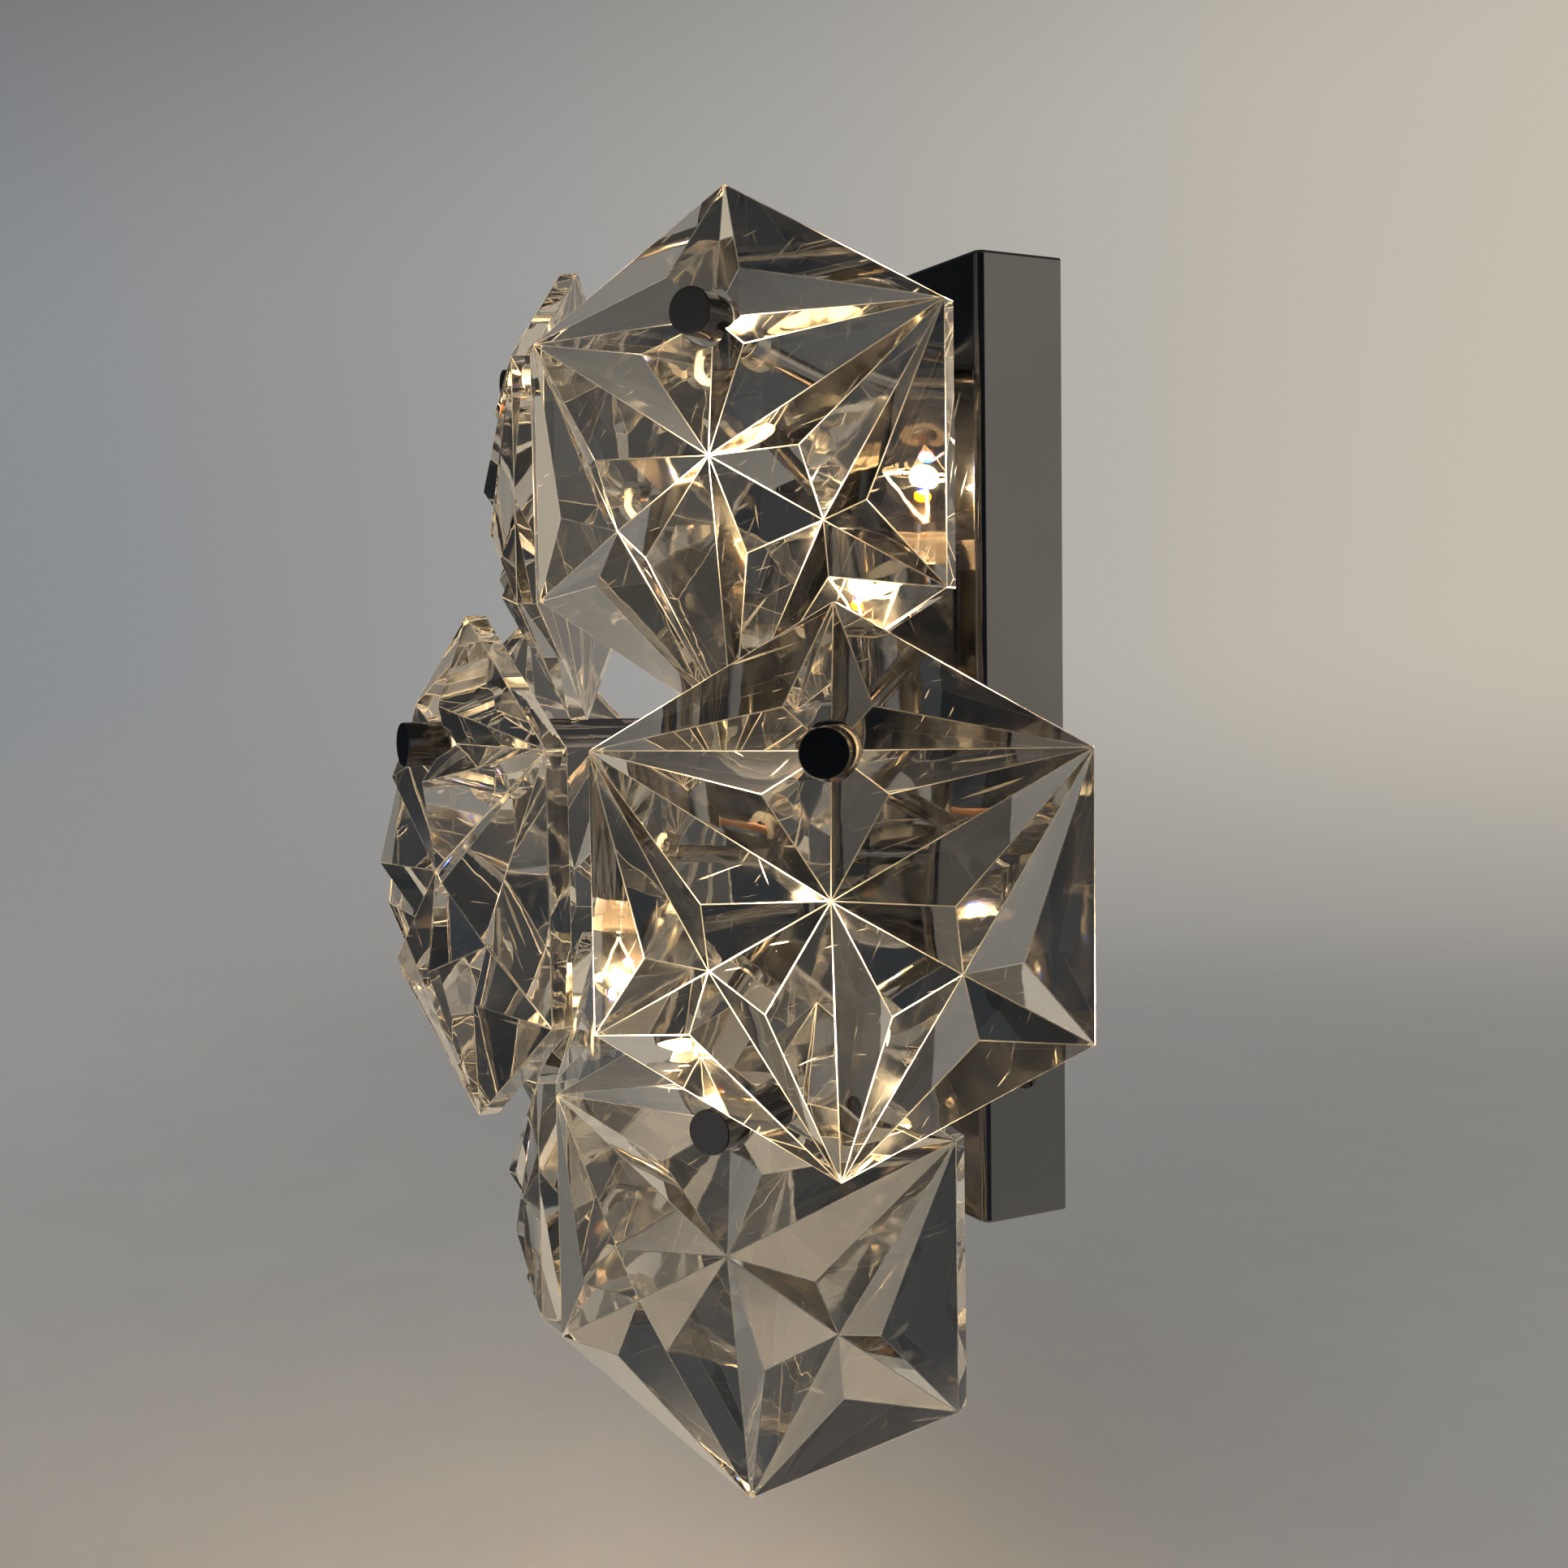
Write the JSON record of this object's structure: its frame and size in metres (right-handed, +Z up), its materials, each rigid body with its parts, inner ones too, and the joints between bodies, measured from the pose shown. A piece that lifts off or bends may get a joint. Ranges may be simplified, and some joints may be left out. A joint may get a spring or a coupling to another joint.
{
  "type": "crystal wall sconce",
  "caption": "Wall sconce with faceted hexagonal crystal plates hung on chrome rods, fanned out in tiers in front of a slim chrome wall cover, around back-to-back round bulbs.",
  "frame": {"origin": "centre of the wall face, behind the cover", "axes": "+Z up, +Y into the wall, the front faces -Y, +X to the right seen from the front"},
  "size_m": [0.2512, 0.16, 0.2985],
  "materials": {
    "crystal": "clear polished crystal, moulded facets",
    "bulb_glass": "clear thin glass",
    "bulb_stem": "clear glass stem",
    "nickel_cap": "nickelled brass, rolled thread",
    "cap_insulator": "black vitrified glass and solder",
    "filament": "tungsten wire, lit",
    "chrome_nut": "polished chrome",
    "chrome_rod": "polished chrome",
    "chrome_hub": "polished chrome",
    "chrome_cover": "polished chrome on sheet steel",
    "chrome_sleeve": "polished chrome",
    "chrome_bracket": "chromed strip",
    "holder_moulding": "ivory thermosetting moulding",
    "brass": "bare brass",
    "zinc_steel": "zinc-plated steel",
    "dark_screw": "blackened steel",
    "bracket_steel": "zinc-plated steel sheet",
    "clear_plastic": "clear plastic",
    "grommet_rubber": "black rubber",
    "brown_insulation": "brown heat-resistant insulation",
    "blue_insulation": "blue heat-resistant insulation",
    "earth_insulation": "green and yellow insulation",
    "terminal_moulding": "white moulded plastic"
  },
  "bodies": {
    "fixture": {"bracket_screws": "zinc_steel", "cable_grommet": "grommet_rubber", "cover": "chrome_cover", "cover_screws": "dark_screw", "crystal_bushes": "clear_plastic", "earth_lead": "earth_insulation", "earth_lug": "brass", "holder_body_lower": "holder_moulding", "holder_body_upper": "holder_moulding", "holder_contacts": "brass", "holder_nipples": "zinc_steel", "holder_shells": "brass", "holder_sleeve_lower": "chrome_sleeve", "holder_sleeve_upper": "chrome_sleeve", "hub_bottom": "chrome_hub", "hub_middle": "chrome_hub", "hub_screws": "zinc_steel", "hub_top": "chrome_hub", "hub_washers": "zinc_steel", "lampholder_bracket": "chrome_bracket", "lead_grommets": "grommet_rubber", "live_leads": "brown_insulation", "neutral_leads": "blue_insulation", "nipple_nuts": "zinc_steel", "rod_collars": "chrome_rod", "support_rod_bottom_left": "chrome_rod", "support_rod_bottom_right": "chrome_rod", "support_rod_middle_centre": "chrome_rod", "support_rod_middle_left": "chrome_rod", "support_rod_middle_right": "chrome_rod", "support_rod_top_left": "chrome_rod", "support_rod_top_right": "chrome_rod", "terminal_block": "terminal_moulding", "terminal_clamps": "brass", "terminal_screws": "zinc_steel", "wall_bracket": "bracket_steel"},
    "crystal_top_left": {"crystal_top_left": "crystal"},
    "cap_nut_top_left": {"cap_nut_top_left": "chrome_nut"},
    "crystal_top_right": {"crystal_top_right": "crystal"},
    "cap_nut_top_right": {"cap_nut_top_right": "chrome_nut"},
    "crystal_middle_left": {"crystal_middle_left": "crystal"},
    "cap_nut_middle_left": {"cap_nut_middle_left": "chrome_nut"},
    "crystal_middle_centre": {"crystal_middle_centre": "crystal"},
    "cap_nut_middle_centre": {"cap_nut_middle_centre": "chrome_nut"},
    "crystal_middle_right": {"crystal_middle_right": "crystal"},
    "cap_nut_middle_right": {"cap_nut_middle_right": "chrome_nut"},
    "crystal_bottom_left": {"crystal_bottom_left": "crystal"},
    "cap_nut_bottom_left": {"cap_nut_bottom_left": "chrome_nut"},
    "crystal_bottom_right": {"crystal_bottom_right": "crystal"},
    "cap_nut_bottom_right": {"cap_nut_bottom_right": "chrome_nut"},
    "bulb_upper": {"bulb_glass_upper": "bulb_glass", "bulb_cap_upper": "nickel_cap", "bulb_base_upper": "cap_insulator", "bulb_stem_upper": "bulb_stem", "bulb_filament_upper": "filament"},
    "bulb_lower": {"bulb_glass_lower": "bulb_glass", "bulb_cap_lower": "nickel_cap", "bulb_base_lower": "cap_insulator", "bulb_stem_lower": "bulb_stem", "bulb_filament_lower": "filament"}
  },
  "joints": [
    {"name": "crystal_swing_top_left", "type": "hinge", "parent": "fixture", "child": "crystal_top_left", "pos_m": [-0.05067, -0.09867, 0.0965], "axis": [-0.5693, -0.8221, 0], "range_deg": [-5, 5]},
    {"name": "cap_nut_turn_top_left", "type": "hinge", "parent": "fixture", "child": "cap_nut_top_left", "pos_m": [-0.05067, -0.09867, 0.0965], "axis": [-0.5693, -0.8221, 0], "continuous": true},
    {"name": "crystal_swing_top_right", "type": "hinge", "parent": "fixture", "child": "crystal_top_right", "pos_m": [0.05067, -0.09867, 0.0965], "axis": [0.5693, -0.8221, 0], "range_deg": [-5, 5]},
    {"name": "cap_nut_turn_top_right", "type": "hinge", "parent": "fixture", "child": "cap_nut_top_right", "pos_m": [0.05067, -0.09867, 0.0965], "axis": [0.5693, -0.8221, 0], "continuous": true},
    {"name": "crystal_swing_middle_left", "type": "hinge", "parent": "fixture", "child": "crystal_middle_left", "pos_m": [-0.09423, -0.09702, 0.0035], "axis": [-0.7965, -0.6046, 0], "range_deg": [-4, 4]},
    {"name": "cap_nut_turn_middle_left", "type": "hinge", "parent": "fixture", "child": "cap_nut_middle_left", "pos_m": [-0.09423, -0.09702, 0.0035], "axis": [-0.7965, -0.6046, 0], "continuous": true},
    {"name": "crystal_swing_middle_centre", "type": "hinge", "parent": "fixture", "child": "crystal_middle_centre", "pos_m": [0, -0.1438, 0.0035], "axis": [0, -1, 0], "range_deg": [-4, 4]},
    {"name": "cap_nut_turn_middle_centre", "type": "hinge", "parent": "fixture", "child": "cap_nut_middle_centre", "pos_m": [0, -0.1438, 0.0035], "axis": [0, -1, 0], "continuous": true},
    {"name": "crystal_swing_middle_right", "type": "hinge", "parent": "fixture", "child": "crystal_middle_right", "pos_m": [0.09423, -0.09702, 0.0035], "axis": [0.7965, -0.6046, 0], "range_deg": [-4, 4]},
    {"name": "cap_nut_turn_middle_right", "type": "hinge", "parent": "fixture", "child": "cap_nut_middle_right", "pos_m": [0.09423, -0.09702, 0.0035], "axis": [0.7965, -0.6046, 0], "continuous": true},
    {"name": "crystal_swing_bottom_left", "type": "hinge", "parent": "fixture", "child": "crystal_bottom_left", "pos_m": [-0.04953, -0.09703, -0.082], "axis": [-0.5693, -0.8221, 0], "range_deg": [-4, 4]},
    {"name": "cap_nut_turn_bottom_left", "type": "hinge", "parent": "fixture", "child": "cap_nut_bottom_left", "pos_m": [-0.04953, -0.09703, -0.082], "axis": [-0.5693, -0.8221, 0], "continuous": true},
    {"name": "crystal_swing_bottom_right", "type": "hinge", "parent": "fixture", "child": "crystal_bottom_right", "pos_m": [0.04953, -0.09703, -0.082], "axis": [0.5693, -0.8221, 0], "range_deg": [-4, 4]},
    {"name": "cap_nut_turn_bottom_right", "type": "hinge", "parent": "fixture", "child": "cap_nut_bottom_right", "pos_m": [0.04953, -0.09703, -0.082], "axis": [0.5693, -0.8221, 0], "continuous": true},
    {"name": "bulb_turn_upper", "type": "hinge", "parent": "fixture", "child": "bulb_upper", "pos_m": [0, -0.058, 0.0115], "axis": [0, 0, 1], "continuous": true},
    {"name": "bulb_turn_lower", "type": "hinge", "parent": "fixture", "child": "bulb_lower", "pos_m": [0, -0.058, -0.0045], "axis": [0, 0, -1], "continuous": true}
  ]
}
